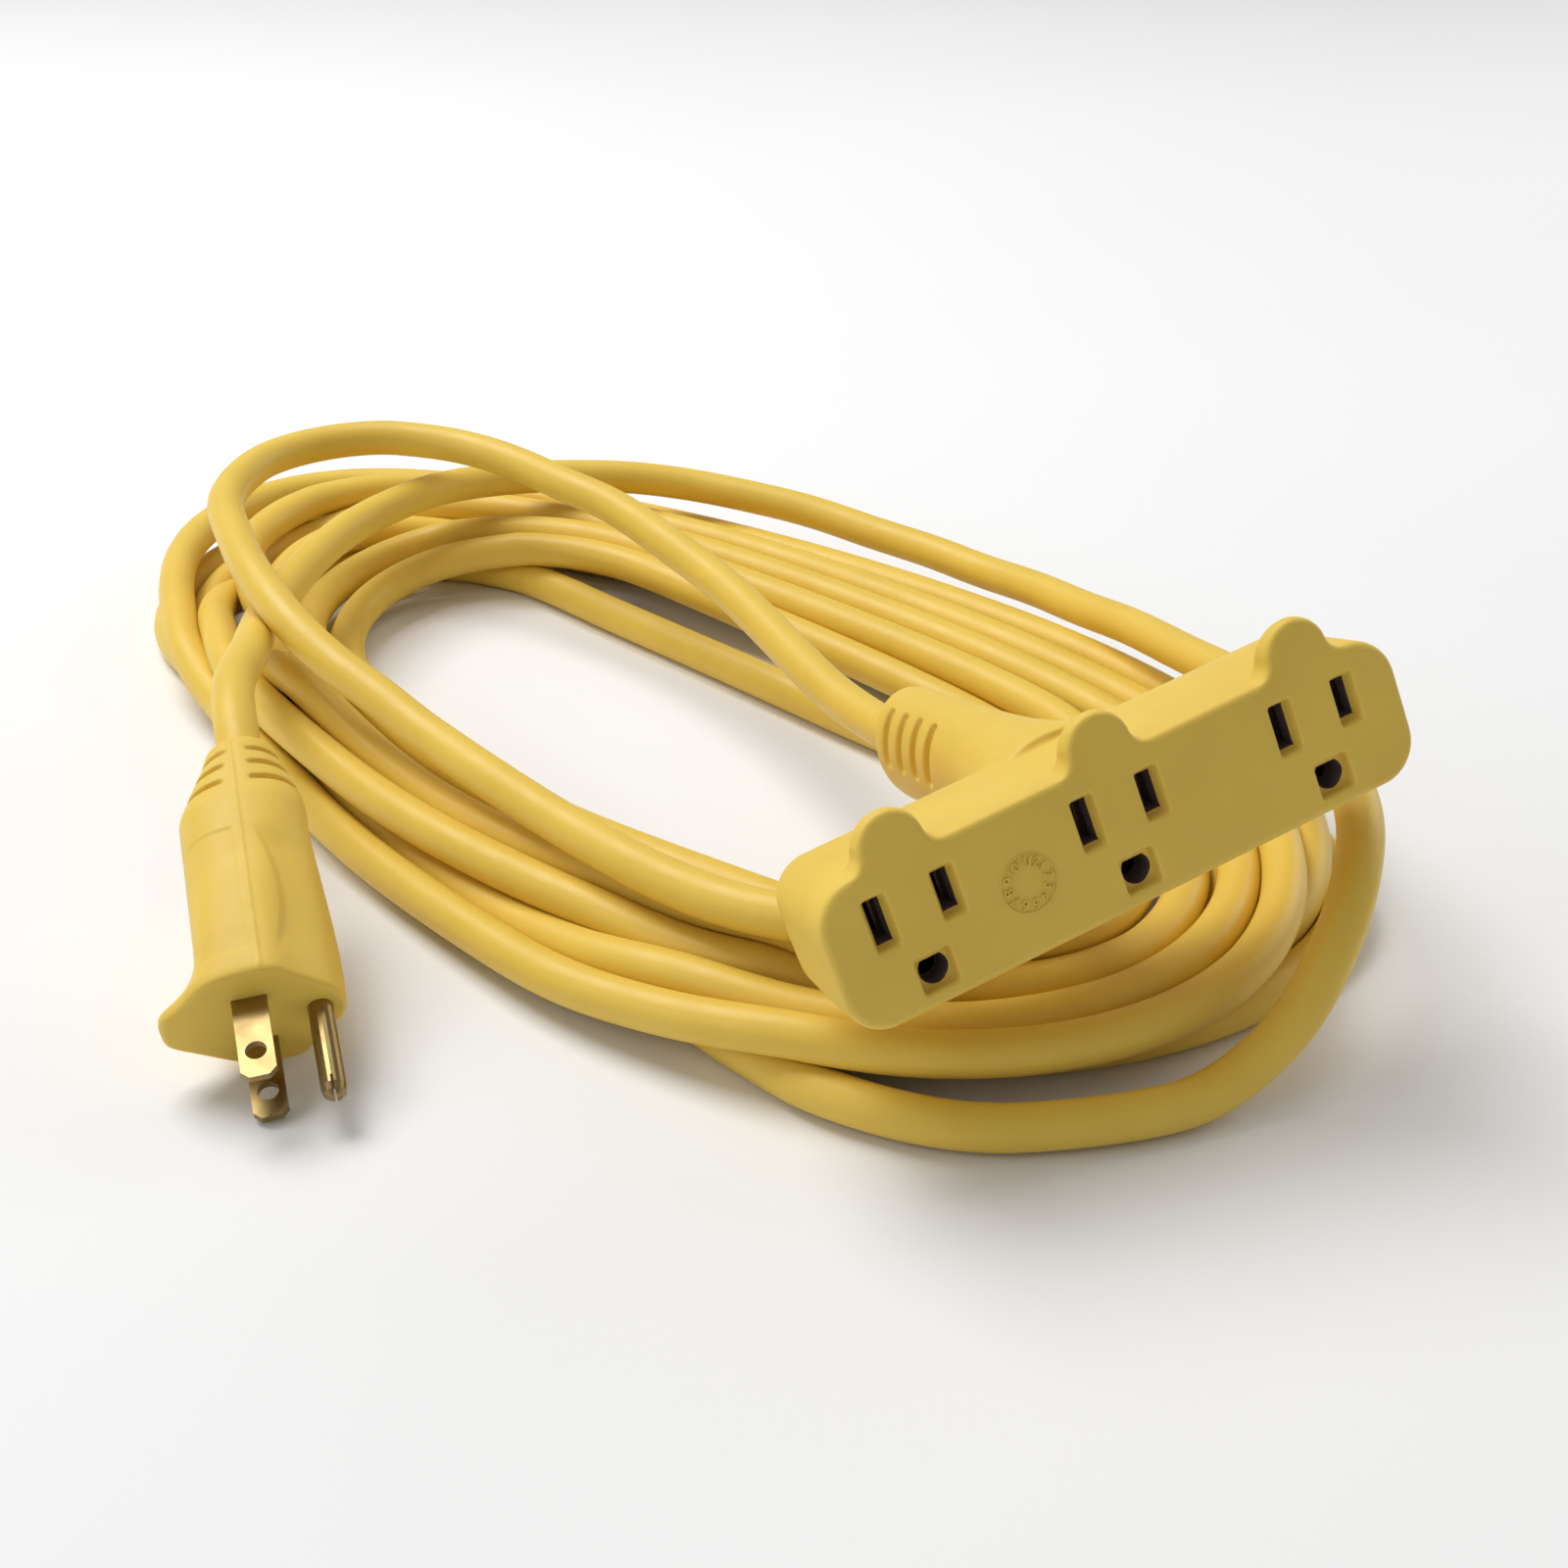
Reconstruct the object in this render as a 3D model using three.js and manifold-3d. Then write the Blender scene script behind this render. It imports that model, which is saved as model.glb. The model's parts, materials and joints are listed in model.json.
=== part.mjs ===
// Three-outlet extension cord: a T-shaped outlet block resting on its own coiled cord, with a
// grounded plug on the other end. Millimetres, +Z up. The origin is the centre of the outlet
// block's face, between the slots and the ground opening of the middle outlet. +X runs along
// the block in plan, and the coil lies behind the block, toward +Y, on the plane z = FLOOR.

import * as THREE from 'three';
import { mergeVertices } from 'three/addons/utils/BufferGeometryUtils.js';
import Module from 'manifold-3d';

const wasm = await Module();
wasm.setup();

// ---- driving dimensions -------------------------------------------------------------------

const FLOOR = -58;
const CORD_D = 9;
const GAP = 0.3;

// how the block lies on the coil
const BLOCK_LEAN = 17.5;
const BLOCK_ROLL = 14.4;

// outlet and plug geometry shared by every grounded 15 A connector
const SLOT_PITCH = 12.7;
const GROUND_DROP = 11.89;
const BLADE_W = 6.35;
const BLADE_T = 1.5;
const BLADE_OUT = 17.5;
const BLADE_HOLE_D = 3.9;
const BLADE_HOLE_Y = 11.9;
const PIN_D = 4.75;
const PIN_OUT = 21;

// outlet block
const OUTLET_PITCH = 40;
const OUTLETS = ['left', 'middle', 'right'];
const SLOT_Z = 4.4;
const GROUND_Z = SLOT_Z - GROUND_DROP;
const BODY_W = 114;
const BODY_H = 27.2;
const BODY_DEPTH = 33;
const BODY_CORNER = 8;
const TAB_W = 12.4;
const TAB_RISE = 8.4;
const TAB_DEPTH = 6.5;
const POCKET_DEPTH = 2.6;
const NECK_START = 26;
const NECK_LENGTH = 60;
const NECK_RX = 9.4;
const NECK_RZ = 12;
const NECK_Z = 1.4;
const NECK_TILT = 3;

// cavity and hard inner shells of the block
const CAVITY = { x: 52, top: 10.4, bottom: -11.6, front: 4.2, back: 25.6 };
const SHELL_WALL = 0.8;
const SHELL_SPLIT = 16;
const CONTACT_FRONT = 7.6;
const CONTACT_BACK = 14.4;
const LEAF_T = 0.5;

// cord construction
const JACKET_BORE_R = 3.82;
const INSULATION_R = 1.55;
const INSULATION_BORE_R = 1.2;
const CORE_R = 0.95;
const LAY_R = 1.97;

// plug: place and direction of its face, and its moulded body
const PLUG_AT = new THREE.Vector3(-137.3, 72.1, -44.6);
const PLUG_YAW = -8;
const PLUG_PITCH = 19.4;
const PLUG_ROLL = -5.6;
const PLUG_LENGTH = 66;
const PLUG_BODY = 47;
const PLUG_AXIS_X = 4.6;
const PLUG_HALF_H = 13.6;

// coil: an oval ring of stacked turns, its outer and inner edge given as half axes
const COIL_CENTRE = [-17, 158];
const COIL_TURN = 18.2;
const COIL_OUTER = { x: 3, y: 8, a: 94, b: 176 };
const COIL_INNER = { x: -10, y: -3, a: 39, b: 101 };
const COIL_HEIGHT = 22;

// the cord between the block's neck and the coil, after it leaves the neck
const BLOCK_CORD = [
  [2, 108, -26], [1, 122, -26], [1, 146, -25], [0, 174, -23], [-4, 201, -21], [-9, 226, -19],
  [-15, 240, -18], [-22, 256, -17], [-31, 271, -16], [-41, 282, -15], [-50, 289, -14],
  [-60, 293, -14], [-70, 293, -14], [-80, 289, -14], [-88, 281, -14], [-94, 270, -15],
  [-99, 256, -15], [-101, 243, -15], [-103, 227, -15], [-103, 209, -16], [-100, 190, -20],
  [-95, 174, -24], [-89, 160, -27], [-84, 147, -30], [-79, 135, -33],
];

// the cord between the coil and the plug: from the plug's tail over the coil, round the
// outside of the coil and in under its front
const PLUG_CORD = [
  [-121.5, 150, -18], [-119, 161, -18], [-115, 172, -20], [-110, 187, -23], [-105, 205, -27],
  [-98, 222, -29], [-87, 240, -29], [-77, 254, -29], [-66, 266, -29], [-54, 275, -29],
  [-41, 282, -29], [-28, 286, -30], [-14, 287, -31], [0, 285, -32], [15, 280, -33],
  [30, 273, -35], [44, 262, -37], [57, 249, -39], [68, 232, -41], [76, 214, -41], [82, 196, -41],
  [86, 177, -39], [88, 157, -37], [88, 135, -33], [87, 113, -30], [85, 90, -26], [81, 66, -21],
  [74, 42, -18], [65, 21, -18], [56, 6, -21], [47, -2, -29], [37, -7, -40], [27, -9, -48],
  [15, -10, -53], [0, -9, -53], [-14, -6, -53], [-27, -1, -53], [-38, 8, -53], [-48, 21, -53],
  [-55, 35, -53], [-62, 49, -53],
];

// ---- materials -----------------------------------------------------------------------------

const material = (color, roughness, metalness) =>
  () => new THREE.MeshStandardMaterial({ color, roughness, metalness });

const yellowVinyl = material(0xe0b947, 0.5, 0);
const hardVinyl = material(0x8f8a80, 0.6, 0);
const brass = material(0xc9a964, 0.3, 0.9);
const copper = material(0xb87445, 0.35, 0.9);
const blackInsulation = material(0x1c1c1c, 0.5, 0);
const whiteInsulation = material(0xe6e4dc, 0.5, 0);
const greenInsulation = material(0x2f7d43, 0.5, 0);

// ---- geometry helpers ------------------------------------------------------------------------

const rad = THREE.MathUtils.degToRad;

// a closed geometry as a solid that can be cut and joined
function solid(geometry) {
  const bare = geometry.clone();
  bare.deleteAttribute('normal');
  bare.deleteAttribute('uv');
  const merged = mergeVertices(bare, 1e-4);
  const index = merged.index.array;
  const faces = [];
  for (let i = 0; i < index.length; i += 3) {
    const [a, b, c] = [index[i], index[i + 1], index[i + 2]];
    if (a !== b && b !== c && c !== a) faces.push(a, b, c);
  }
  return new wasm.Manifold(new wasm.Mesh({
    numProp: 3,
    vertProperties: new Float32Array(merged.attributes.position.array),
    triVerts: new Uint32Array(faces),
  }));
}

function geometryOf(body) {
  const mesh = body.getMesh();
  const geometry = new THREE.BufferGeometry();
  geometry.setAttribute('position', new THREE.BufferAttribute(mesh.vertProperties, 3));
  geometry.setIndex(new THREE.BufferAttribute(mesh.triVerts, 1));
  return geometry;
}

const join = (bodies) => bodies.reduce((sum, next) => sum.add(next));
const cut = (body, tools) => tools.reduce((rest, tool) => rest.subtract(tool), body);

// a box between two corners
function box(x0, x1, y0, y1, z0, z1) {
  const geometry = new THREE.BoxGeometry(x1 - x0, y1 - y0, z1 - z0);
  geometry.translate((x0 + x1) / 2, (y0 + y1) / 2, (z0 + z1) / 2);
  return solid(geometry);
}

// a rod along Y between two depths
function rodY(radius, y0, y1, x = 0, z = 0, sides = 20) {
  const geometry = new THREE.CylinderGeometry(radius, radius, y1 - y0, sides);
  geometry.translate(x, (y0 + y1) / 2, z);
  return solid(geometry);
}

const pipeY = (outer, inner, y0, y1, x = 0, z = 0, sides = 20) =>
  rodY(outer, y0, y1, x, z, sides).subtract(rodY(inner, y0 - 1, y1 + 1, x, z, sides));

// a rounded rectangle in the X-Z plane, given as a shape whose y is the object's z
function roundedShape(halfW, bottom, top, r) {
  const shape = new THREE.Shape();
  shape.moveTo(-halfW + r, bottom);
  shape.lineTo(halfW - r, bottom);
  shape.absarc(halfW - r, bottom + r, r, -Math.PI / 2, 0);
  shape.absarc(halfW - r, top - r, r, 0, Math.PI / 2);
  shape.absarc(-halfW + r, top - r, r, Math.PI / 2, Math.PI);
  shape.absarc(-halfW + r, bottom + r, r, Math.PI, Math.PI * 1.5);
  return shape;
}

// extrudes a shape drawn in X-Z along +Y from y0, then moves each point by reshape(point, t)
function extrudeY(shape, y0, depth, steps = 1, reshape = null, curveSegments = 6) {
  const geometry = new THREE.ExtrudeGeometry(shape, { depth, steps, bevelEnabled: false, curveSegments });
  geometry.rotateX(Math.PI / 2);
  geometry.translate(0, y0 + depth, 0);
  if (reshape) {
    const at = geometry.attributes.position;
    const point = new THREE.Vector3();
    for (let i = 0; i < at.count; i += 1) {
      point.fromBufferAttribute(at, i);
      reshape(point, (point.y - y0) / depth);
      at.setXYZ(i, point.x, point.y, point.z);
    }
  }
  return solid(geometry);
}

// a turned body around the Y axis: profile rows are [radius, y]
function turnedY(profile, sides = 28) {
  return solid(new THREE.LatheGeometry(profile.map(([r, y]) => new THREE.Vector2(r, y)), sides));
}

// a round cord along a list of points
function cordGeometry(points, diameter, sides, steps) {
  const section = new THREE.Shape();
  for (let i = 0; i < sides; i += 1) {
    const angle = (2 * Math.PI * i) / sides;
    const [x, y] = [Math.cos(angle) * diameter / 2, Math.sin(angle) * diameter / 2];
    if (i === 0) section.moveTo(x, y);
    else section.lineTo(x, y);
  }
  const path = new THREE.CatmullRomCurve3(points, false, 'centripetal');
  return new THREE.ExtrudeGeometry(section, { steps, extrudePath: path, bevelEnabled: false });
}

function place(body, matrix) {
  return solid(geometryOf(body).applyMatrix4(matrix));
}

// ---- scene graph ------------------------------------------------------------------------------

const object = new THREE.Group();

const block = new THREE.Group();
block.rotation.set(rad(-BLOCK_LEAN), rad(-BLOCK_ROLL), 0, 'YXZ');
object.add(block);

const neck = new THREE.Group();
neck.position.set(0, NECK_START, NECK_Z);
neck.rotation.set(rad(NECK_TILT), 0, rad(NECK_TILT), 'ZXY');
block.add(neck);

const plug = new THREE.Group();
plug.position.copy(PLUG_AT);
plug.rotation.set(rad(PLUG_PITCH), rad(PLUG_ROLL), rad(PLUG_YAW), 'ZXY');
object.add(plug);

object.updateMatrixWorld(true);

function add(group, name, body, makeMaterial) {
  const geometry = body instanceof THREE.BufferGeometry ? body : geometryOf(body);
  const mesh = new THREE.Mesh(geometry, makeMaterial());
  mesh.name = name;
  group.add(mesh);
}

const outletX = (i) => (i - 1) * OUTLET_PITCH;
const hotX = (i) => outletX(i) + SLOT_PITCH / 2;
const neutralX = (i) => outletX(i) - SLOT_PITCH / 2;

// ---- outlet block: soft overmould ---------------------------------------------------------------

// the body narrows a little toward the back and its back edge is rounded
function bodyTaper(point, t) {
  const edge = Math.max(0, (t - 0.84) / 0.16);
  const pull = 2.2 * t + 4 * (1 - Math.sqrt(1 - Math.min(0.96, edge * edge)));
  point.x *= 1 - pull / (BODY_W / 2);
  point.z *= 1 - pull / (BODY_H / 2);
}

// a thumb tab: a half-round lip flush with the face, sloping down behind
function thumbTab(x) {
  const r = TAB_W / 2;
  const top = BODY_H / 2 + TAB_RISE;
  const shape = new THREE.Shape();
  shape.moveTo(x - r - 1, BODY_H / 2 - 2);
  shape.lineTo(x + r + 1, BODY_H / 2 - 2);
  shape.lineTo(x + r, top - r);
  shape.absarc(x, top - r, r, 0, Math.PI);
  return extrudeY(shape, 0, TAB_DEPTH, 1, (point, t) => {
    if (t > 0.5 && point.z > BODY_H / 2) point.y -= 0.42 * (point.z - BODY_H / 2);
  });
}

function neckProfile() {
  const rows = [[0, -6], [1.45, -6], [1.3, 6], [1.14, 18], [1.05, 28]];
  const ribs = 4;
  for (let i = 0; i < ribs; i += 1) {
    const y = 34 + i * 5;
    rows.push([1.02, y], [0.93, y + 0.6], [0.93, y + 1.8], [1.0, y + 2.4]);
  }
  rows.push([0.98, 56], [0.86, NECK_LENGTH - 0.6], [0.8, NECK_LENGTH], [0, NECK_LENGTH]);
  return rows;
}

// the neck in block coordinates: a turned body squeezed to an oval, and its cord bore
function neckBody() {
  const body = turnedY(neckProfile(), 32);
  const oval = new THREE.Matrix4().makeScale(NECK_RX, 1, NECK_RZ);
  return place(place(body, oval), neck.matrix);
}

function slotPockets(i) {
  const tools = [];
  const pocket = (x, z, w, h) => box(x - w / 2, x + w / 2, -1, POCKET_DEPTH, z - h / 2, z + h / 2);
  const slot = (x, w, h) => box(x - w / 2, x + w / 2, -1, CAVITY.front + 1, SLOT_Z - h / 2, SLOT_Z + h / 2);
  tools.push(pocket(neutralX(i), SLOT_Z, 4.1, 9.2));
  tools.push(pocket(hotX(i), SLOT_Z, 4.1, 8.6));
  tools.push(pocket(outletX(i), GROUND_Z, 6.8, 6.6));
  tools.push(slot(neutralX(i), 2.6, 8.4));
  tools.push(slot(hotX(i), 2.6, 7.4));
  tools.push(rodY(2.8, -1, CAVITY.front + 1, outletX(i), GROUND_Z, 18));
  return tools;
}

const boreAlongNeck = (radius, y0, y1) => place(rodY(radius, y0, y1, 0, 0, 24), neck.matrix);

const bodyBlock = extrudeY(
  roundedShape(BODY_W / 2, -BODY_H / 2, BODY_H / 2, BODY_CORNER), 0, BODY_DEPTH, 12, bodyTaper);
const cavity = box(-CAVITY.x, CAVITY.x, CAVITY.front, CAVITY.back, CAVITY.bottom, CAVITY.top);
const tabs = OUTLETS.map((_, i) => thumbTab(outletX(i)));
const outletOvermould = cut(
  join([bodyBlock, neckBody(), ...tabs]),
  [cavity, boreAlongNeck(CORD_D / 2 + GAP, -8, NECK_LENGTH + 2), ...OUTLETS.flatMap((_, i) => slotPockets(i))]);
add(block, 'outlet_overmould', outletOvermould, yellowVinyl);

// ---- outlet block: hard inner shells ----------------------------------------------------------------

const shellX = CAVITY.x - GAP;
const shellTop = CAVITY.top - GAP;
const shellBottom = CAVITY.bottom + GAP;
const shellFront = CAVITY.front + GAP;
const shellBack = CAVITY.back - GAP;

function shellOpenings(i) {
  const y0 = shellFront - 1;
  const y1 = shellFront + SHELL_WALL + 1;
  const slot = (x, h) => box(x - 1.3, x + 1.3, y0, y1, SLOT_Z - h / 2, SLOT_Z + h / 2);
  return [slot(neutralX(i), 8.4), slot(hotX(i), 7.4), rodY(2.8, y0, y1, outletX(i), GROUND_Z, 18)];
}

const frontShell = cut(
  box(-shellX, shellX, shellFront, SHELL_SPLIT, shellBottom, shellTop),
  [
    box(-shellX + SHELL_WALL, shellX - SHELL_WALL, shellFront + SHELL_WALL, SHELL_SPLIT + 1,
      shellBottom + SHELL_WALL, shellTop - SHELL_WALL),
    ...OUTLETS.flatMap((_, i) => shellOpenings(i)),
  ]);
add(block, 'contact_carrier_front', frontShell, hardVinyl);

const rearShell = cut(
  box(-shellX, shellX, SHELL_SPLIT + GAP, shellBack, shellBottom, shellTop),
  [
    box(-shellX + SHELL_WALL, shellX - SHELL_WALL, SHELL_SPLIT, shellBack - SHELL_WALL,
      shellBottom + SHELL_WALL, shellTop - SHELL_WALL),
    rodY(5.4, shellBack - 3, shellBack + 2, 0, NECK_Z, 20),
  ]);
add(block, 'contact_carrier_rear', rearShell, hardVinyl);

// ---- outlet block: contacts ---------------------------------------------------------------------------

const BUS_Z = 8.3;
const LEAF_GAP = BLADE_T + 0.2;

// a strip along the block with a pair of spring leaves behind each slot
function bladeBus(xs, stripFront, stripBack, tailX) {
  const parts = [box(xs[0] - 3, xs[xs.length - 1] + 3, stripFront, stripBack, BUS_Z, BUS_Z + 0.6)];
  for (const x of xs) {
    for (const side of [-1, 1]) {
      const inner = x + side * LEAF_GAP / 2;
      const [x0, x1] = side < 0 ? [inner - LEAF_T, inner] : [inner, inner + LEAF_T];
      parts.push(box(x0, x1, CONTACT_FRONT, CONTACT_BACK, 0.6, BUS_Z - 0.6));
      parts.push(box(x0, x1, stripFront + 0.2, stripBack - 0.2, BUS_Z - 0.7, BUS_Z + 0.3));
    }
  }
  parts.push(box(tailX - 1.4, tailX + 1.4, stripBack - 0.1, SHELL_SPLIT + 2, BUS_Z, BUS_Z + 0.6));
  return join(parts);
}

add(block, 'neutral_bus', bladeBus(OUTLETS.map((_, i) => neutralX(i)), 7.6, 10.6, -44), brass);
add(block, 'hot_bus', bladeBus(OUTLETS.map((_, i) => hotX(i)), 11.4, 14.4, 18), brass);

// a split sleeve for each ground pin, riveted to a strip behind them
function groundBus() {
  const parts = [box(-44, 44, CONTACT_BACK, CONTACT_BACK + 0.7, GROUND_Z - 1.6, GROUND_Z + 1.6)];
  OUTLETS.forEach((_, i) => {
    const sleeve = pipeY(3, 2.5, CONTACT_FRONT, CONTACT_BACK + 0.3, outletX(i), GROUND_Z, 18);
    const split = box(outletX(i) - 0.5, outletX(i) + 0.5, CONTACT_FRONT - 1, CONTACT_BACK - 0.4, GROUND_Z, GROUND_Z + 4);
    parts.push(sleeve.subtract(split));
  });
  return join(parts);
}

add(block, 'ground_bus', groundBus(), brass);

// ---- conductors inside a gland: three insulated wires laid together in the jacket's end -------------------

const WIRES = [
  { name: 'hot', angle: 90, insulation: blackInsulation },
  { name: 'neutral', angle: 210, insulation: whiteInsulation },
  { name: 'ground', angle: 330, insulation: greenInsulation },
];

function addConductors(group, prefix, axisX, range) {
  const pipe = pipeY(CORD_D / 2, JACKET_BORE_R, range.jacket[0], range.jacket[1], axisX, 0, 24);
  add(group, `${prefix}_jacket_end`, pipe, yellowVinyl);
  for (const wire of WIRES) {
    const x = axisX + LAY_R * Math.cos(rad(wire.angle));
    const z = LAY_R * Math.sin(rad(wire.angle));
    add(group, `${prefix}_${wire.name}_insulation`,
      pipeY(INSULATION_R, INSULATION_BORE_R, range.insulation[0], range.insulation[1], x, z, 16), wire.insulation);
    add(group, `${prefix}_${wire.name}_conductor`,
      rodY(CORE_R, range.core[0], range.core[1], x, z, 12), copper);
  }
}

addConductors(neck, 'block', 0, {
  jacket: [10, NECK_LENGTH], insulation: [-5, NECK_LENGTH - GAP], core: [-8, NECK_LENGTH - 2 * GAP],
});

// ---- plug: blades and pin -----------------------------------------------------------------------------------

const BLADE_BACK = 13;

// a folded blade: chamfered tip, a hole, and a crimp tail behind
function blade(z) {
  const tip = 1.4;
  const shape = new THREE.Shape();
  shape.moveTo(-BLADE_W / 2, -BLADE_BACK);
  shape.lineTo(BLADE_W / 2, -BLADE_BACK);
  shape.lineTo(BLADE_W / 2, BLADE_OUT - tip);
  shape.lineTo(BLADE_W / 2 - tip, BLADE_OUT);
  shape.lineTo(-BLADE_W / 2 + tip, BLADE_OUT);
  shape.lineTo(-BLADE_W / 2, BLADE_OUT - tip);
  const hole = new THREE.Path();
  hole.absarc(0, BLADE_HOLE_Y, BLADE_HOLE_D / 2, 0, 2 * Math.PI, true);
  shape.holes.push(hole);
  const geometry = new THREE.ExtrudeGeometry(shape, { depth: BLADE_T, bevelEnabled: false, curveSegments: 10 });
  geometry.rotateX(Math.PI);
  geometry.translate(0, 0, z + BLADE_T / 2);
  return solid(geometry);
}

add(plug, 'hot_blade', blade(SLOT_PITCH / 2), brass);
add(plug, 'neutral_blade', blade(-SLOT_PITCH / 2), brass);

// the ground pin is rolled from sheet: a round nose and a seam across the tip
function groundPin() {
  const r = PIN_D / 2;
  const profile = [[0, -PIN_OUT], [r * 0.5, -PIN_OUT + 0.35], [r * 0.87, -PIN_OUT + 1.2], [r, -PIN_OUT + 2.6], [r, BLADE_BACK], [0, BLADE_BACK]];
  const seam = box(-0.25, 0.25, -PIN_OUT - 1, -PIN_OUT + 4, -r, r);
  const matrix = new THREE.Matrix4().makeTranslation(GROUND_DROP, 0, 0);
  return place(turnedY(profile, 20).subtract(seam), matrix);
}

add(plug, 'ground_pin', groundPin(), brass);

// ---- plug: moulded body and inner bridge -----------------------------------------------------------------------

// the face outline: rounded top and bottom, pointed toward the ground pin, drawn in X-Z
function plugOutline() {
  const shape = new THREE.Shape();
  const r = 6;
  shape.moveTo(-8.6, -9);
  shape.quadraticCurveTo(-8.2, -PLUG_HALF_H, -3.5, -PLUG_HALF_H);
  shape.lineTo(5, -PLUG_HALF_H);
  shape.quadraticCurveTo(9, -PLUG_HALF_H, 12, -9);
  shape.quadraticCurveTo(17.4, -r / 2, 17.4, 0);
  shape.quadraticCurveTo(17.4, r / 2, 12, 9);
  shape.quadraticCurveTo(9, PLUG_HALF_H, 5, PLUG_HALF_H);
  shape.lineTo(-3.5, PLUG_HALF_H);
  shape.quadraticCurveTo(-8.2, PLUG_HALF_H, -8.6, 9);
  return shape;
}

function plugTaper(point, t) {
  const squeeze = 1 - 0.3 * t * t;
  point.x = PLUG_AXIS_X + (point.x - PLUG_AXIS_X) * squeeze;
  point.z *= squeeze;
}

// the finger tab: a flange beside the face, opposite the ground pin
function fingerTab() {
  const shape = new THREE.Shape();
  shape.moveTo(-6, -10.5);
  shape.lineTo(-16, -3.4);
  shape.quadraticCurveTo(-18, 0, -16, 4.2);
  shape.lineTo(-6, 11.5);
  return extrudeY(shape, 0, 13, 4, (point, t) => {
    point.x = -6 + (point.x + 6) * Math.max(0.02, 1 - 0.35 * t - 0.63 * Math.pow(t, 1.6));
  });
}

function plugTail() {
  const rows = [[0, PLUG_BODY - 4], [10.6, PLUG_BODY - 4], [10.2, PLUG_BODY + 1]];
  const ribs = 3;
  for (let i = 0; i < ribs; i += 1) {
    const y = PLUG_BODY + 3 + i * 5;
    const r = 9.9 - i * 1.1;
    rows.push([r, y], [r - 1.1, y + 0.4], [r - 1.3, y + 1.5], [r - 0.4, y + 1.9]);
  }
  rows.push([6.7, PLUG_LENGTH - 0.4], [6.2, PLUG_LENGTH], [0, PLUG_LENGTH]);
  return place(turnedY(rows, 28), new THREE.Matrix4().makeTranslation(PLUG_AXIS_X, 0, 0));
}

// the bridge that holds the blades, narrower round the ground pin so that it fits the outline
const BRIDGE = { left: -5.6, shoulder: 9, right: 15.2, front: 4, back: 11, halfH: 9.6, halfNose: 4.2 };

function bridgeSolid(front, back, grow) {
  const main = box(BRIDGE.left - grow, BRIDGE.shoulder + grow, front, back, -BRIDGE.halfH - grow, BRIDGE.halfH + grow);
  const nose = box(0, BRIDGE.right + grow, front, back, -BRIDGE.halfNose - grow, BRIDGE.halfNose + grow);
  return main.add(nose);
}

// room around everything inside the plug, open to the outside beside the blades
function plugHollow() {
  const slot = (z) => box(-BLADE_W / 2 - GAP, BLADE_W / 2 + GAP, -1, BRIDGE.front + 1,
    z - BLADE_T / 2 - GAP, z + BLADE_T / 2 + GAP);
  return [
    bridgeSolid(BRIDGE.front - GAP, BLADE_BACK + 2, GAP),
    slot(SLOT_PITCH / 2),
    slot(-SLOT_PITCH / 2),
    rodY(PIN_D / 2 + GAP, -1, BRIDGE.front + 1, GROUND_DROP, 0, 20),
    rodY(CORD_D / 2 + GAP, BLADE_BACK, PLUG_LENGTH + 2, PLUG_AXIS_X, 0, 24),
  ];
}

const plugOvermould = cut(
  join([extrudeY(plugOutline(), 0, PLUG_BODY, 10, plugTaper, 5), fingerTab(), plugTail()]),
  plugHollow());
add(plug, 'plug_overmould', plugOvermould, yellowVinyl);

function bladeSlot(z) {
  return box(-BLADE_W / 2 - GAP, BLADE_W / 2 + GAP, 0, BRIDGE.back + 1,
    z - BLADE_T / 2 - GAP, z + BLADE_T / 2 + GAP);
}

const bridgeBody = cut(bridgeSolid(BRIDGE.front, BRIDGE.back, 0), [
  bladeSlot(SLOT_PITCH / 2),
  bladeSlot(-SLOT_PITCH / 2),
  rodY(PIN_D / 2 + GAP, 0, BRIDGE.back + 1, GROUND_DROP, 0, 20),
]);
add(plug, 'plug_bridge', bridgeBody, hardVinyl);

addConductors(plug, 'plug', PLUG_AXIS_X, {
  jacket: [30, PLUG_LENGTH], insulation: [18, PLUG_LENGTH - GAP], core: [14.4, PLUG_LENGTH - 2 * GAP],
});

// ---- the cord ----------------------------------------------------------------------------------------------------

object.updateMatrixWorld(true);

// the first points of a cord: the centre of the gland's end, just clear of it, and straight on
function glandStart(group, x, y) {
  const at = (distance) => group.localToWorld(new THREE.Vector3(x, y + distance, 0));
  return [at(GAP), at(CORD_D)];
}

const toVectors = (rows) => rows.map(([x, y, z]) => new THREE.Vector3(x, y, z));
const blockCordPoints = [...glandStart(neck, 0, NECK_LENGTH), ...toVectors(BLOCK_CORD)];
const plugCordPoints = [...glandStart(plug, PLUG_AXIS_X, PLUG_LENGTH), ...toVectors(PLUG_CORD)];

add(object, 'cord_block_end', cordGeometry(blockCordPoints, CORD_D, 10, 27), yellowVinyl);
add(object, 'cord_plug_end', cordGeometry(plugCordPoints, CORD_D, 10, 48), yellowVinyl);

// the coil with its turns as one oval ring, with room for the two cord ends
function coilRing() {
  const shape = new THREE.Shape();
  shape.absellipse(COIL_OUTER.x, COIL_OUTER.y, COIL_OUTER.a, COIL_OUTER.b, 0, 2 * Math.PI, false);
  const hole = new THREE.Path();
  hole.absellipse(COIL_INNER.x, COIL_INNER.y, COIL_INNER.a, COIL_INNER.b, 0, 2 * Math.PI, true);
  shape.holes.push(hole);
  const geometry = new THREE.ExtrudeGeometry(shape, { depth: COIL_HEIGHT, bevelEnabled: false, curveSegments: 24 });
  geometry.rotateZ(rad(COIL_TURN));
  geometry.translate(COIL_CENTRE[0], COIL_CENTRE[1], FLOOR);
  return solid(geometry);
}

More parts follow.
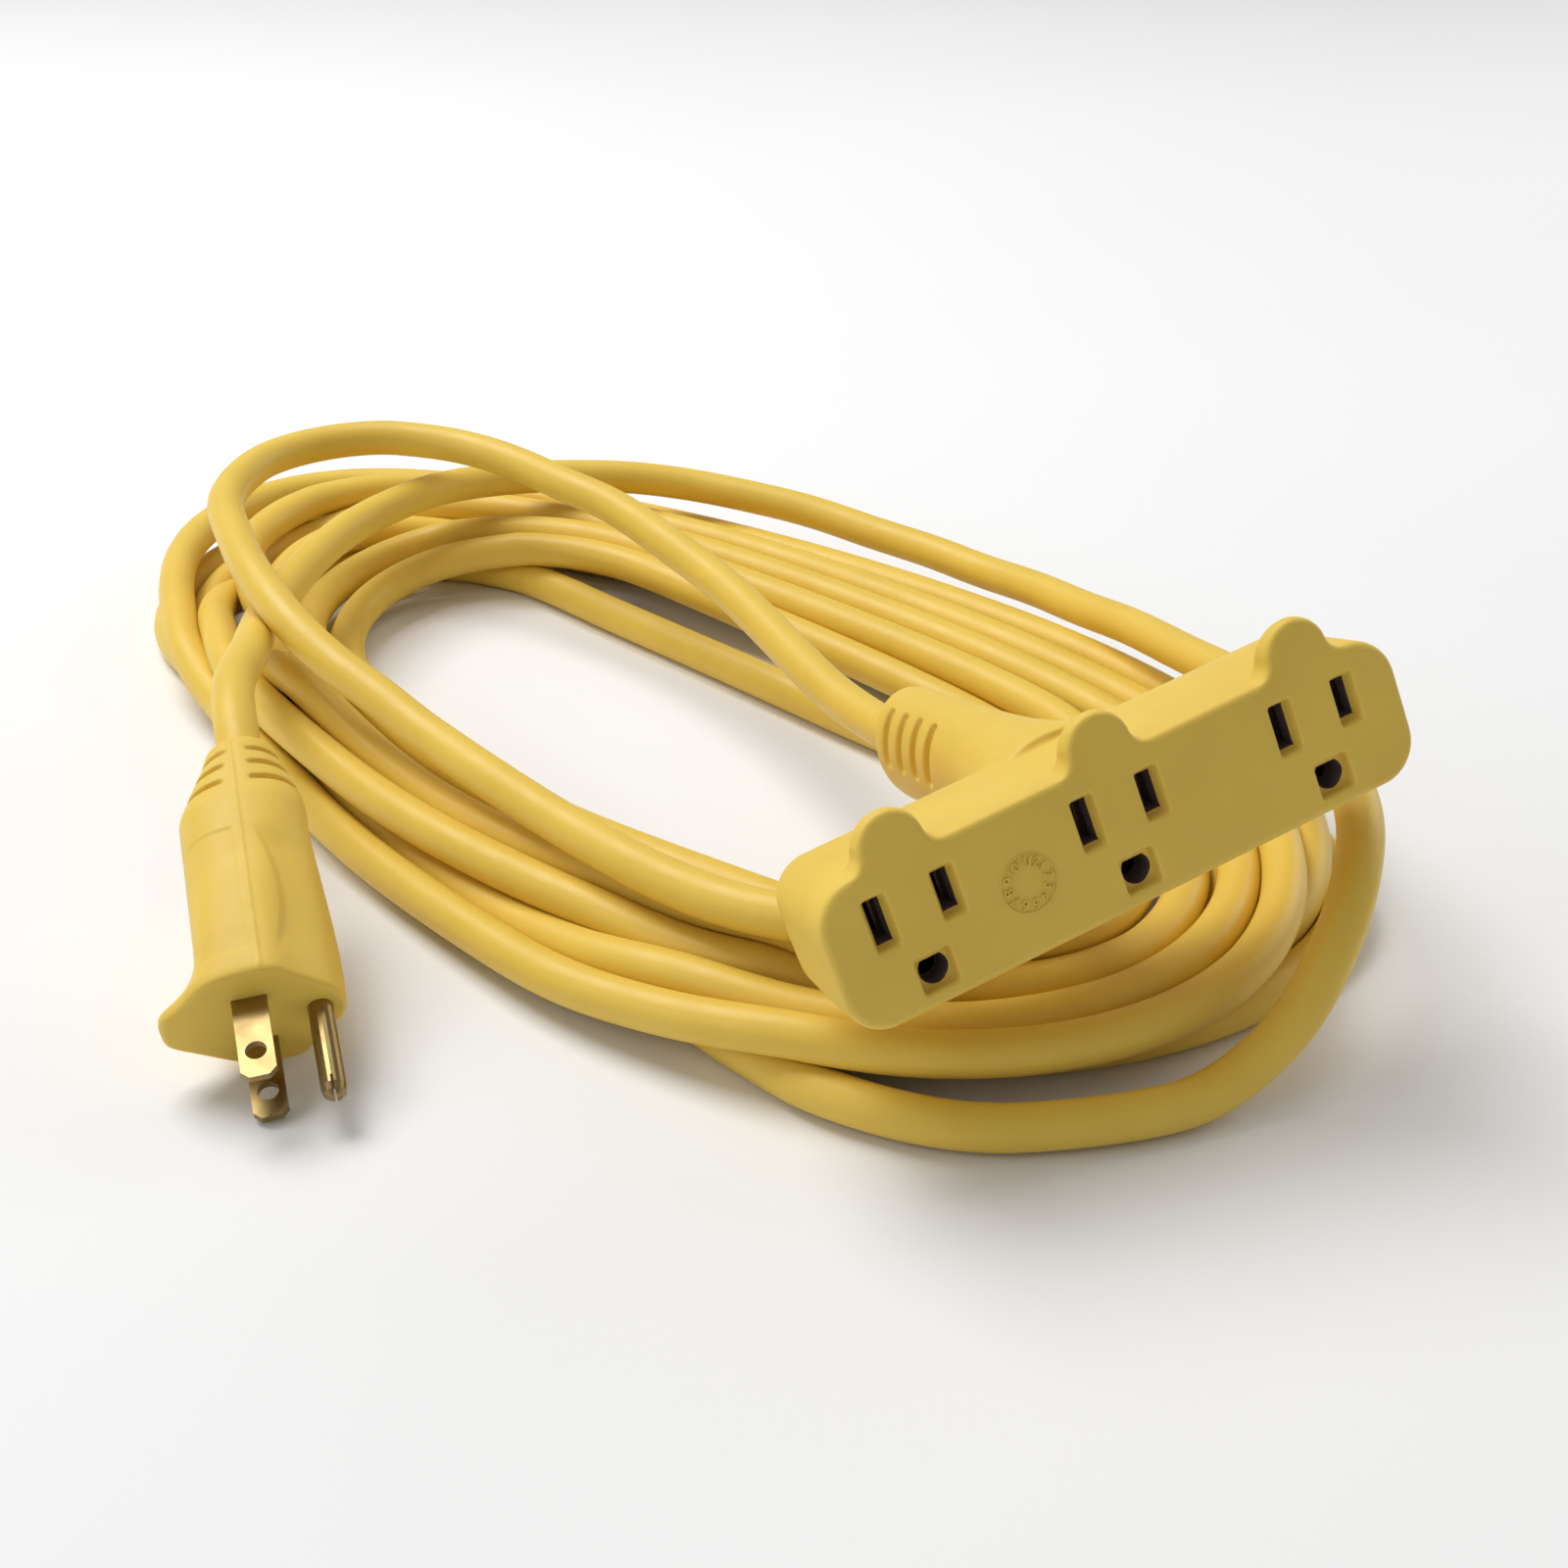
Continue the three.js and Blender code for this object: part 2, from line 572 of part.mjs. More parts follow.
function extended(points) {
  const last = points[points.length - 1];
  const before = points[points.length - 2];
  const beyond = last.clone().add(last.clone().sub(before).setLength(GAP));
  return [...points, beyond];
}

const room = (points, steps) => solid(cordGeometry(extended(points), CORD_D + 2.6 * GAP, 10, steps));
const coil = cut(coilRing(), [room(blockCordPoints, 27), room(plugCordPoints, 48)]);
add(object, 'cord_coil', coil, yellowVinyl);

export default object;
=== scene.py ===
# Looks for the three-outlet extension cord: the camera, the coiled cord, the moulded outlet
# block and plug, their materials, a pale floor and soft light. Lengths are written in
# millimetres and multiplied by MM, because Blender works in metres.

import json
import math

import bmesh
import bpy
import numpy as np
from mathutils import Matrix, Vector


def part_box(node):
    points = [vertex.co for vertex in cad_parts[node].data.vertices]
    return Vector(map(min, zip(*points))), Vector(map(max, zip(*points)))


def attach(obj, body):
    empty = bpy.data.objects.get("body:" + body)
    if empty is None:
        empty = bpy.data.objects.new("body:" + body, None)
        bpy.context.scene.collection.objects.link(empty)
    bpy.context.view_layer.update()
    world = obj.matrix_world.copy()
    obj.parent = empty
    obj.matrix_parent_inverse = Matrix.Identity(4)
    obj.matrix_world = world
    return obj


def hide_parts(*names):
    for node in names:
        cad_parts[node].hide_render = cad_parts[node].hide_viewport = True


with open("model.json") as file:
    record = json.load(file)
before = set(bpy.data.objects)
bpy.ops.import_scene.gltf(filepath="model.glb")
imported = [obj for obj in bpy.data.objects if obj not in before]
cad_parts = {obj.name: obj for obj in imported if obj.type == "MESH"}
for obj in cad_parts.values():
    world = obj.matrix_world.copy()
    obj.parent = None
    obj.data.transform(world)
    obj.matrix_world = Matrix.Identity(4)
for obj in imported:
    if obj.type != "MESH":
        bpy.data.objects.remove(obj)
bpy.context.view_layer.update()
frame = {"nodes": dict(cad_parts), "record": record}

MM = 0.001
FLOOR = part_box("cord_coil")[0].z

# the block, its neck and the plug, placed as in the CAD model, in mm and degrees
BLOCK_LEAN, BLOCK_ROLL = -17.5, -14.4
NECK_START, NECK_Z, NECK_TILT, NECK_LENGTH = 26, 1.4, 3, 60
PLUG_AT = (-137.3, 72.1, -44.6)
PLUG_YAW, PLUG_PITCH, PLUG_ROLL = -8, 19.4, -5.6
PLUG_AXIS_X, PLUG_LENGTH = 4.6, 66

# the grounded outlet pattern, and where its middle lies in each outlet along the block
SLOT_PITCH, GROUND_DROP, SLOT_Z = 12.7, 11.89, 4.4
GROUND_Z = SLOT_Z - GROUND_DROP
OUTLETS = (-40, 0, 40)

CORD_D = 9 * MM
CORD_BORE_R = 4.6


def turn(axis, degrees):
    return Matrix.Rotation(math.radians(degrees), 4, axis)


BLOCK = turn("Y", BLOCK_ROLL) @ turn("X", BLOCK_LEAN)
NECK = (BLOCK @ Matrix.Translation(Vector((0, NECK_START, NECK_Z)) * MM)
        @ turn("Z", NECK_TILT) @ turn("X", NECK_TILT))
PLUG = (Matrix.Translation(Vector(PLUG_AT) * MM)
        @ turn("Z", PLUG_YAW) @ turn("X", PLUG_PITCH) @ turn("Y", PLUG_ROLL))


# ---- camera ------------------------------------------------------------------------------------

CAMERA_AT = (-190.7, -279.7, 186.4)
CAMERA_DOWN, CAMERA_HEADING = 28, -24.35
CAMERA_LENS, CAMERA_SENSOR = 51.75, 36


def make_camera():
    data = bpy.data.cameras.new("camera")
    data.lens = CAMERA_LENS
    data.sensor_width = CAMERA_SENSOR
    data.clip_start = 0.01
    camera = bpy.data.objects.new("camera", data)
    camera.location = Vector(CAMERA_AT) * MM
    camera.rotation_euler = (math.radians(90 - CAMERA_DOWN), 0, math.radians(CAMERA_HEADING))
    bpy.context.scene.collection.objects.link(camera)
    bpy.context.scene.camera = camera


# ---- the cord's route --------------------------------------------------------------------------

# the two stretches given point by point, in mm, as in the CAD model: from the neck to the coil's
# front left, and from the plug round the outside of the coil to its front
BLOCK_CORD = [
    (2, 108, -26), (1, 122, -26), (1, 146, -25), (0, 174, -23), (-4, 201, -21), (-9, 226, -19),
    (-15, 240, -18), (-22, 256, -17), (-31, 271, -16), (-41, 282, -15), (-50, 289, -14),
    (-60, 293, -14), (-70, 293, -14), (-80, 289, -14), (-88, 281, -14), (-94, 270, -15),
    (-99, 256, -15), (-101, 243, -15), (-103, 227, -15), (-103, 209, -16), (-100, 190, -20),
    (-95, 174, -24), (-89, 160, -27), (-84, 147, -30), (-79, 135, -33),
]
PLUG_CORD = [
    (-121.5, 150, -18), (-119, 161, -18), (-115, 172, -20), (-110, 187, -23), (-105, 205, -27),
    (-98, 222, -29), (-87, 240, -29), (-77, 254, -29), (-66, 266, -29), (-54, 275, -29),
    (-41, 282, -29), (-28, 286, -30), (-14, 287, -31), (0, 285, -32), (15, 280, -33),
    (30, 273, -35), (44, 262, -37), (57, 249, -39), (68, 232, -41), (76, 214, -41),
    (82, 196, -41), (86, 177, -39), (88, 157, -37), (88, 135, -33), (87, 113, -30),
    (85, 90, -26), (81, 66, -21), (74, 42, -18), (65, 21, -18), (56, 6, -21), (47, -2, -29),
    (37, -7, -40), (27, -9, -48), (15, -10, -53), (0, -9, -53), (-14, -6, -53), (-27, -1, -53),
    (-38, 8, -53), (-48, 21, -53), (-55, 35, -53), (-62, 49, -53),
]

# the coil's outer edge on the floor, in mm, going round by the front, right, back and left, and
# the eight stations on it, by index, where each turn's place is given
OUTLINE = [
    (-108, 148), (-92, 92), (-70, 35), (-38, 2), (4, -9), (49, -2), (83, 23), (100, 60), (103, 106),
    (91, 154), (74, 203), (54, 252), (26, 299), (-15, 336), (-60, 355), (-97, 335), (-119, 289),
    (-117, 246), (-114, 200),
]
STATIONS = [0, 2, 4, 6.3, 9, 12, 14, 16.3]
COIL_STEP = 0.25

# each turn's place at each station, in cord diameters: how far its centre is in from the outer
# edge, and how high it is over the floor
TURNS = [
    [None, (2.35, 2.6), (3.6, 1.5), (4.6, 1.4), (7.2, 0.5), (6.8, 0.5), (3.3, 0.5), (1.5, 0.6)],
    [(1.2, 1.5), (2.4, 1.0), (3.2, 0.5), (1.2, 1.4), (0.9, 1.5), (1.0, 1.0), (0.6, 1.5), (0.6, 1.7)],
    [(0.5, 0.5), (0.9, 1.1), (0.7, 1.5), (2.0, 1.5), (2.0, 1.5), (2.2, 1.4), (2.0, 2.0), (2.4, 1.2)],
    [(1.5, 0.5), (1.9, 1.1), (1.7, 1.5), (3.1, 1.4), (3.0, 1.5), (3.2, 1.4), (3.5, 1.5), (1.0, 0.5)],
    [(2.2, 1.4), (2.9, 1.6), (2.8, 1.4), (4.0, 0.5), (5.0, 0.9), (5.0, 1.3), (7.4, 0.5), (4.6, 0.5)],
    [(4.2, 0.8), (5.2, 1.7), (5.2, 0.6), (5.0, 0.5), (4.0, 1.4), (4.5, 1.4), (6.6, 0.6), (3.4, 0.5)],
    [(3.2, 1.5), (4.0, 1.4), (4.2, 0.5), (3.0, 0.5), (3.1, 0.5), (3.3, 0.5), (4.8, 0.5), (2.4, 0.5)],
    [(3.4, 0.5), (3.0, 0.5), (1.9, 0.5), (0.5, 0.5), (2.0, 0.5), (2.0, 0.5), (1.6, 0.5), (0.5, 0.5)],
    [(2.5, 0.5)],
]

# how the cord settles. BEND_REACHES are how many points each way a bend is measured over, and
# TIGHTEST is the radius below which it opens. The other shares say how far a point moves in a
# round: toward the middle of its neighbours, back to where the lists put it at the start, and
# back to the laid route where it is held
CORD_STEP = 4.5 * MM
TIGHTEST = 43 * MM
SETTLE_ROUNDS = 360
PAIRS_EVERY, PAIR_REACH, PAIR_APART = 12, 1.7 * CORD_D, 6
TURN_GAP = 1.01 * CORD_D
BEND_REACHES, BEND_SHARE = (8, 4), 0.5
SMOOTH_SHARE, HOME_SHARE, HELD_SHARE = 0.3, 0.02, 0.4
LAID_HOLD, HELD_ENDS = 0.5, 6

# the straight stretch of cord inside and outside each strain relief's end, in mm
GLAND_IN, GLAND_OUT = 3, 9

# the block's body as a box in its own axes, in mm, and the air the cord keeps from it
BLOCK_BOX = ((-52, 3, -9.5), (52, 27, 9.5))
BLOCK_AIR = 4 * MM


def spline_at(points, t, closed=False):
    """The point at index t on a Catmull-Rom curve through the points."""
    count = len(points)
    i = int(math.floor(t))
    u = t - i
    near = [(i + k) % count if closed else min(max(i + k, 0), count - 1) for k in (-1, 0, 1, 2)]
    a, b, c, d = (points[j] for j in near)
    second, third = 2 * a - 5 * b + 4 * c - d, 3 * b - a - 3 * c + d
    return 0.5 * (2 * b + (c - a) * u + second * u**2 + third * u**3)


def coil_points():
    """The coil's turns, worked out from the outline and each turn's place at the stations."""
    outline = np.array(OUTLINE, float) * MM
    where, places = [], []
    for number, row in enumerate(TURNS):
        for station, place in zip(STATIONS, row):
            if place:
                where.append(number * len(outline) + station)
                places.append(place)
    places = np.array(places)
    points = []
    for t in np.arange(where[0], where[-1] + 1e-9, COIL_STEP):
        k = min(np.searchsorted(where, t, side="right") - 1, len(where) - 2)
        u = (t - where[k]) / (where[k + 1] - where[k])
        ease = u * u * (3 - 2 * u)
        inward, up = places[k] * (1 - ease) + places[k + 1] * ease
        ahead = spline_at(outline, t + 0.05, True) - spline_at(outline, t - 0.05, True)
        normal = np.array([-ahead[1], ahead[0]]) / np.linalg.norm(ahead)
        x, y = spline_at(outline, t, True) + normal * inward * CORD_D
        points.append((x, y, FLOOR + up * CORD_D))
    return np.array(points)


def evenly(points, spacing):
    """Points a constant distance apart along the smooth curve through the points."""
    fine = [spline_at(points, t) for t in np.arange(0, len(points) - 1, 0.1)] + [points[-1]]
    fine = np.array(fine)
    along = np.r_[0, np.cumsum(np.linalg.norm(np.diff(fine, axis=0), axis=1))]
    at = np.linspace(0, along[-1], int(round(along[-1] / spacing)) + 1)
    return np.stack([np.interp(at, along, fine[:, k]) for k in range(3)], 1)


def gland(matrix, x, y):
    """A point on the axis of a strain relief, in the frame."""
    return np.array(matrix @ (Vector((x, y, 0)) * MM))


def clear_of_block(points):
    """Moves points that are too near the block's body out of it."""
    rotation = np.array(BLOCK.to_3x3())
    low, high = np.array(BLOCK_BOX) * MM
    room = CORD_D / 2 + BLOCK_AIR
    local = points @ rotation
    nearest = np.clip(local, low, high)
    away = local - nearest
    distance = np.linalg.norm(away, axis=1)
    close = (distance < room) & (distance > 1e-9)
    local[close] = nearest[close] + away[close] / distance[close, None] * room
    return local @ rotation.T


def close_pairs(points, reach, apart):
    """Pairs of points nearer than reach that are more than apart steps from each other."""
    first, second = [], []
    for start in range(0, len(points), 400):
        gaps = ((points[start:start + 400, None] - points[None]) ** 2).sum(2)
        i, j = np.nonzero(gaps < reach**2)
        keep = j - (i + start) > apart
        first.append(i[keep] + start)
        second.append(j[keep])
    return np.concatenate(first), np.concatenate(second)


def straighten(points, free, reach):
    """Opens bends that are tighter than the cord allows, measured over reach points each way."""
    before, here, after = points[:-2 * reach], points[reach:-reach], points[2 * reach:]
    bulge = here - (before + after) / 2
    height = np.linalg.norm(bulge, axis=1) + 1e-12
    allowed = np.linalg.norm(after - before, axis=1) ** 2 / (8 * TIGHTEST)
    bulge *= (BEND_SHARE * np.maximum(0, 1 - allowed / height))[:, None]
    move = np.zeros_like(points)
    move[reach:-reach] -= bulge
    move[:-2 * reach] += bulge / 2
    move[2 * reach:] += bulge / 2
    points += move * free


def settle(points, hold):
    """Lets the cord settle: touching turns push apart, sharp bends open and it stays on the
    floor. A point moves freely where hold is 0, and stays where it was laid where hold is 1."""
    home = points.copy()
    free = (1 - hold)[:, None]
    for number in range(SETTLE_ROUNDS):
        if number % PAIRS_EVERY == 0:
            first, second = close_pairs(points, PAIR_REACH, PAIR_APART)
        late = number / SETTLE_ROUNDS
        for reach in BEND_REACHES:
            straighten(points, free, reach)
        middle = (points[2:] + points[:-2]) / 2
        points[1:-1] += SMOOTH_SHARE * (middle - points[1:-1]) * free[1:-1]
        points += (home - points) * (HOME_SHARE * (1 - late) + HELD_SHARE * hold)[:, None]
        away = points[second] - points[first]
        distance = np.linalg.norm(away, axis=1) + 1e-12
        short = np.maximum(0, TURN_GAP - distance)
        push = away / distance[:, None] * (short / 2)[:, None]
        move, hits = np.zeros_like(points), np.zeros(len(points))
        for index, way in ((first, -1), (second, 1)):
            np.add.at(move, index, way * push)
            np.add.at(hits, index, short > 0)
        points += move / np.maximum(1, hits / 2.5)[:, None]
        points[:, 2] = np.maximum(points[:, 2], FLOOR + CORD_D / 2)
        points = clear_of_block(points)
    return points


def cord_route():
    """The whole cord's centreline, from the block's neck to the plug."""
    lead = np.array([gland(NECK, 0, NECK_LENGTH - GLAND_IN),
                     gland(NECK, 0, NECK_LENGTH + GLAND_OUT),
                     *(np.array(BLOCK_CORD) * MM)])
    tail = np.array([*(np.array(PLUG_CORD[::-1]) * MM),
                     gland(PLUG, PLUG_AXIS_X, PLUG_LENGTH + GLAND_OUT),
                     gland(PLUG, PLUG_AXIS_X, PLUG_LENGTH - GLAND_IN)])
    points = evenly(np.concatenate([lead, coil_points(), tail]), CORD_STEP)
    hold = np.zeros(len(points))
    hold[:len(evenly(lead, CORD_STEP)) - HELD_ENDS // 2] = LAID_HOLD
    hold[HELD_ENDS - len(evenly(tail, CORD_STEP)):] = LAID_HOLD
    hold[:HELD_ENDS] = 1
    hold[-HELD_ENDS:] = 1
    return settle(points, hold)


def make_cord(material):
    points = cord_route()
    curve = bpy.data.curves.new("cord", "CURVE")
    curve.dimensions = "3D"
    curve.bevel_depth = CORD_D / 2
    curve.bevel_resolution = 6
    curve.use_fill_caps = True
    curve.resolution_u = 3
    spline = curve.splines.new("NURBS")
    spline.points.add(len(points) - 1)
    spline.points.foreach_set("co", np.c_[points, np.ones(len(points))].ravel())
    spline.order_u = 4
    spline.use_endpoint_u = True
    cord = bpy.data.objects.new("cord", curve)
    bpy.context.scene.collection.objects.link(cord)
    curve.materials.append(material)
    return cord, points


# ---- mesh helpers ------------------------------------------------------------------------------

def new_object(name, mesh):
    thing = bpy.data.objects.new(name, mesh)
    bpy.context.scene.collection.objects.link(thing)
    return thing


def loft(rings):
    """A closed mesh through rings of points, capped at both ends."""
    mesh = bmesh.new()
    loops = [[mesh.verts.new(Vector(p) * MM) for p in ring] for ring in rings]
    count = len(loops[0])
    for low, high in zip(loops, loops[1:]):
        for i in range(count):
            j = (i + 1) % count
            mesh.faces.new((low[i], low[j], high[j], high[i]))
    mesh.faces.new(loops[0][::-1])
    mesh.faces.new(loops[-1])
    bmesh.ops.recalc_face_normals(mesh, faces=mesh.faces)
    data = bpy.data.meshes.new("loft")
    mesh.to_mesh(data)
    mesh.free()
    return data


def join(name, meshes):
    """One object made of several meshes, which are used up."""
    whole = bmesh.new()
    for mesh in meshes:
        whole.from_mesh(mesh)
        bpy.data.meshes.remove(mesh)
    data = bpy.data.meshes.new(name)
    whole.to_mesh(data)
    whole.free()
    return new_object(name, data)


def bake(thing):
    """Applies an object's modifiers."""
    depsgraph = bpy.context.evaluated_depsgraph_get()
    mesh = bpy.data.meshes.new_from_object(thing.evaluated_get(depsgraph))
    thing.modifiers.clear()
    thing.data = mesh


def soften(thing, voxel, rounds):
    """Joins a piece's overlapping bodies into one skin and rounds its edges like soft moulding."""
    remesh = thing.modifiers.new("skin", "REMESH")
    remesh.mode = "VOXEL"
    remesh.voxel_size = voxel * MM
    remesh.adaptivity = 0
    smooth = thing.modifiers.new("soft", "SMOOTH")
    smooth.factor = 0.5
    smooth.iterations = rounds
    bake(thing)


def carve(thing, cutter):
    """Cuts one object out of another."""
    cut = thing.modifiers.new("cut", "BOOLEAN")
    cut.operation = "DIFFERENCE"
    cut.object = cutter
    cut.solver = "EXACT"
    bake(thing)
    bpy.data.objects.remove(cutter)


def box_mesh(x0, x1, y0, y1, z0, z1):
    """A plain box, for cutting."""
    return loft([[(x0, y, z0), (x1, y, z0), (x1, y, z1), (x0, y, z1)] for y in (y0, y1)])


def round_mesh(radius, y0, y1, x=0, z=0, sides=48, flat_top=None):
    """A rod along Y, with a flat along its top if one is given."""
    ring = []
    for i in range(sides):
        angle = 2 * math.pi * i / sides
        dx, dz = radius * math.cos(angle), radius * math.sin(angle)
        if flat_top is not None:
            dz = min(dz, flat_top)
        ring.append((x + dx, z + dz))
    return loft([[(px, y, pz) for px, pz in ring] for y in (y0, y1)])


def finish_piece(thing, matrix, material, slot, *replaced):
    """Places a piece, gives it its material and hides the CAD nodes it replaces."""
    thing.data.transform(matrix)
    thing.data.materials.clear()
    thing.data.materials.append(material)
    for face in thing.data.polygons:
        face.use_smooth = True
    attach(thing, "root")
    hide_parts(*replaced)
    return thing


# ---- materials ---------------------------------------------------------------------------------

def node_material(name):
    material = bpy.data.materials.new(name)
    material.use_nodes = True
    tree = material.node_tree
    return material, tree, tree.nodes["Principled BSDF"]


def noise(tree, scale, detail=3, roughness=0.5):
    coordinates = tree.nodes.get("coordinates") or tree.nodes.new("ShaderNodeTexCoord")
    coordinates.name = "coordinates"
    texture = tree.nodes.new("ShaderNodeTexNoise")
    texture.inputs["Scale"].default_value = scale
    texture.inputs["Detail"].default_value = detail
    texture.inputs["Roughness"].default_value = roughness
    tree.links.new(coordinates.outputs["Object"], texture.inputs["Vector"])
    return texture.outputs["Fac"]


def ramp(tree, value, *stops):
    """A colour ramp on a value: each stop is a position and a colour."""
    node = tree.nodes.new("ShaderNodeValToRGB")
    while len(node.color_ramp.elements) < len(stops):
        node.color_ramp.elements.new(0.5)
    for element, (position, colour) in zip(node.color_ramp.elements, stops):
        element.position = position
        element.color = (*colour, 1)
    tree.links.new(value, node.inputs["Fac"])
    return node.outputs["Color"]


def mix(tree, factor, a, b, mode="MIX"):
    node = tree.nodes.new("ShaderNodeMix")
    node.data_type = "RGBA"
    node.blend_type = mode
    for name, value in (("Factor", factor), ("A", a), ("B", b)):
        socket = node.inputs[name]
        if isinstance(value, bpy.types.NodeSocket):
            tree.links.new(value, socket)
        elif isinstance(value, tuple):
            socket.default_value = (*value, 1)
        else:
            socket.default_value = value
    return node.outputs["Result"]


def bump(tree, shader, height, distance, strength=1.0):
    node = tree.nodes.new("ShaderNodeBump")
    node.inputs["Distance"].default_value = distance
    node.inputs["Strength"].default_value = strength
    tree.links.new(height, node.inputs["Height"])
    previous = shader.inputs["Normal"].links
    if previous:
        tree.links.new(previous[0].from_socket, node.inputs["Normal"])
    tree.links.new(node.outputs["Normal"], shader.inputs["Normal"])


def grey_ramp(tree, value, low, high, grey, spread):
    """A ramp between two greys a little under and over a middle one."""
    under, over = spread
    return ramp(tree, value, (low, (grey - under,) * 3), (high, (grey + over,) * 3))


def specks(tree, scale, radius, share):
    """A mask of small round specks, in a share of the cells of a pattern."""
    texture = tree.nodes.new("ShaderNodeTexVoronoi")
    texture.inputs["Scale"].default_value = scale
    tree.links.new(tree.nodes["coordinates"].outputs["Object"], texture.inputs["Vector"])
    spot = ramp(tree, texture.outputs["Distance"], (radius * 0.6, (1, 1, 1)), (radius, (0, 0, 0)))
    chosen = ramp(tree, texture.outputs["Color"], (share * 0.9, (1, 1, 1)), (share, (0, 0, 0)))
    return mix(tree, 1.0, spot, chosen, "MULTIPLY")


def vinyl(name, colour, deep, roughness=0.42):
    """Soft moulded vinyl: faint mottling, a few dark specks, satin gloss and a fine skin texture."""
    material, tree, shader = node_material(name)
    mottled = ramp(tree, noise(tree, 45, 4), (0.35, deep), (0.65, colour))
    marked = mix(tree, specks(tree, 75, 0.035, 0.2), mottled, (0.16, 0.10, 0.04))
    tree.links.new(marked, shader.inputs["Base Color"])
    gloss = grey_ramp(tree, noise(tree, 160, 3), 0.3, 0.7, roughness, (0.05, 0.07))
    tree.links.new(gloss, shader.inputs["Roughness"])
    shader.inputs["Specular IOR Level"].default_value = 0.36
    shader.inputs["Subsurface Weight"].default_value = 0.1
    shader.inputs["Subsurface Radius"].default_value = (1.0, 0.5, 0.1)
    shader.inputs["Subsurface Scale"].default_value = 2 * MM
    bump(tree, shader, noise(tree, 2600, 2), 0.02 * MM, 0.5)
    bump(tree, shader, noise(tree, 240, 2), 0.08 * MM, 0.35)
    return material


def metal(name, colour, dull, roughness):
    """Rolled metal: slow changes of tarnish and gloss, and faint fine marks."""
    material, tree, shader = node_material(name)
    tarnished = ramp(tree, noise(tree, 120, 3), (0.35, dull), (0.65, colour))
    tree.links.new(tarnished, shader.inputs["Base Color"])
    gloss = grey_ramp(tree, noise(tree, 400, 2), 0.3, 0.75, roughness, (0.04, 0.06))
    tree.links.new(gloss, shader.inputs["Roughness"])
    shader.inputs["Metallic"].default_value = 1
    bump(tree, shader, noise(tree, 1400, 2), 0.01 * MM, 0.15)
    return material


def plain_plastic(name, colour, roughness):
    """Hard or thin plastic of one colour, slightly mottled."""
    material, tree, shader = node_material(name)
    darker = tuple(c * 0.8 for c in colour)
    mottled = ramp(tree, noise(tree, 400, 3), (0.3, darker), (0.7, colour))
    tree.links.new(mottled, shader.inputs["Base Color"])
    shader.inputs["Roughness"].default_value = roughness
    bump(tree, shader, noise(tree, 1500, 2), 0.02 * MM, 0.4)
    return material


# ---- outlet block ------------------------------------------------------------------------------

BODY_W, BODY_H = 114, 27.2
BODY_TOP_R, BODY_BOTTOM_R, BODY_LEAST_R = 8.4, 7.6, 2
TAB_W, TAB_RISE, TAB_DEPTH, TAB_SLOPE = 12.4, 8.4, 6.6, 0.36
POCKET_DEPTH, SLOT_DEPTH = 2.4, 14

# the body's sections: depth behind the face, and how far its sides are pulled in there
BODY_ROWS = [
    (0, 0.9), (0.3, 0.35), (0.9, 0), (12, 0.3), (24, 1), (28.5, 1.9), (31, 3.2), (32.4, 5.2),
    (33, 7.4),
]

# the foot of a thumb tab's outline: out from its side and up from the body's edge
TAB_FOOT = [(3.5, -3), (3.5, -0.3), (1.4, 0.2), (0.2, 1.6)]

# the rows of grooves on the neck: how many, the first one's place from the end and their pitch,
# the oval they lie on, where each starts and how far it goes round, its half width and its depth
NECK_GROOVES, NECK_GROOVE_FIRST, NECK_GROOVE_PITCH = 4, 7.5, 6.3
NECK_GROOVE_OVAL, NECK_GROOVE_STARTS, NECK_GROOVE_ARC = (9.5, 12.2), (-2, 120), 62
NECK_GROOVE_HALF_W, NECK_GROOVE_DEPTH = 1.0, 1.6

# one outlet's recesses: place from the outlet's middle, size at the face and size at the bottom
POCKETS = [
    (-SLOT_PITCH / 2, SLOT_Z, (4.7, 9.9), (3.1, 8.2)),
    (SLOT_PITCH / 2, SLOT_Z, (4.7, 9.5), (3.1, 7.6)),
    (0, GROUND_Z, (7.0, 6.9), (5.9, 5.9)),
]
SLOT_HALF_W, NEUTRAL_HALF_H, HOT_HALF_H = 1.45, 4.0, 3.6
GROUND_R, GROUND_FLAT = 2.75, 2.0

# the date dial: its middle on the face, the radius and turn of its numbers, and its rim's section
DIAL_AT, DIAL_R, DIAL_TURN = (-20, -0.5), 3.75, 60
DIAL_RIM = [(5.0, 0.1), (5.0, -0.16), (5.22, -0.16), (5.22, 0.1)]


def rounded_ring(half_w, half_h, r_top, r_bottom, y, steps=10):
    """A rounded rectangle in the X-Z plane at depth y."""
    ring = []
    corners = ((1, -1, r_bottom, -90), (1, 1, r_top, 0), (-1, 1, r_top, 90), (-1, -1, r_bottom, 180))
    for sx, sz, r, first in corners:
        for k in range(steps + 1):
            angle = math.radians(first + 90 * k / steps)
            ring.append((sx * (half_w - r) + r * math.cos(angle), y,
                         sz * (half_h - r) + r * math.sin(angle)))
    return ring


def block_body():
    rings = []
    for y, pull in BODY_ROWS:
        r_top, r_bottom = (max(BODY_LEAST_R, r - pull / 2) for r in (BODY_TOP_R, BODY_BOTTOM_R))
        rings.append(rounded_ring(BODY_W / 2 - pull, BODY_H / 2 - pull, r_top, r_bottom, y))
    return loft(rings)


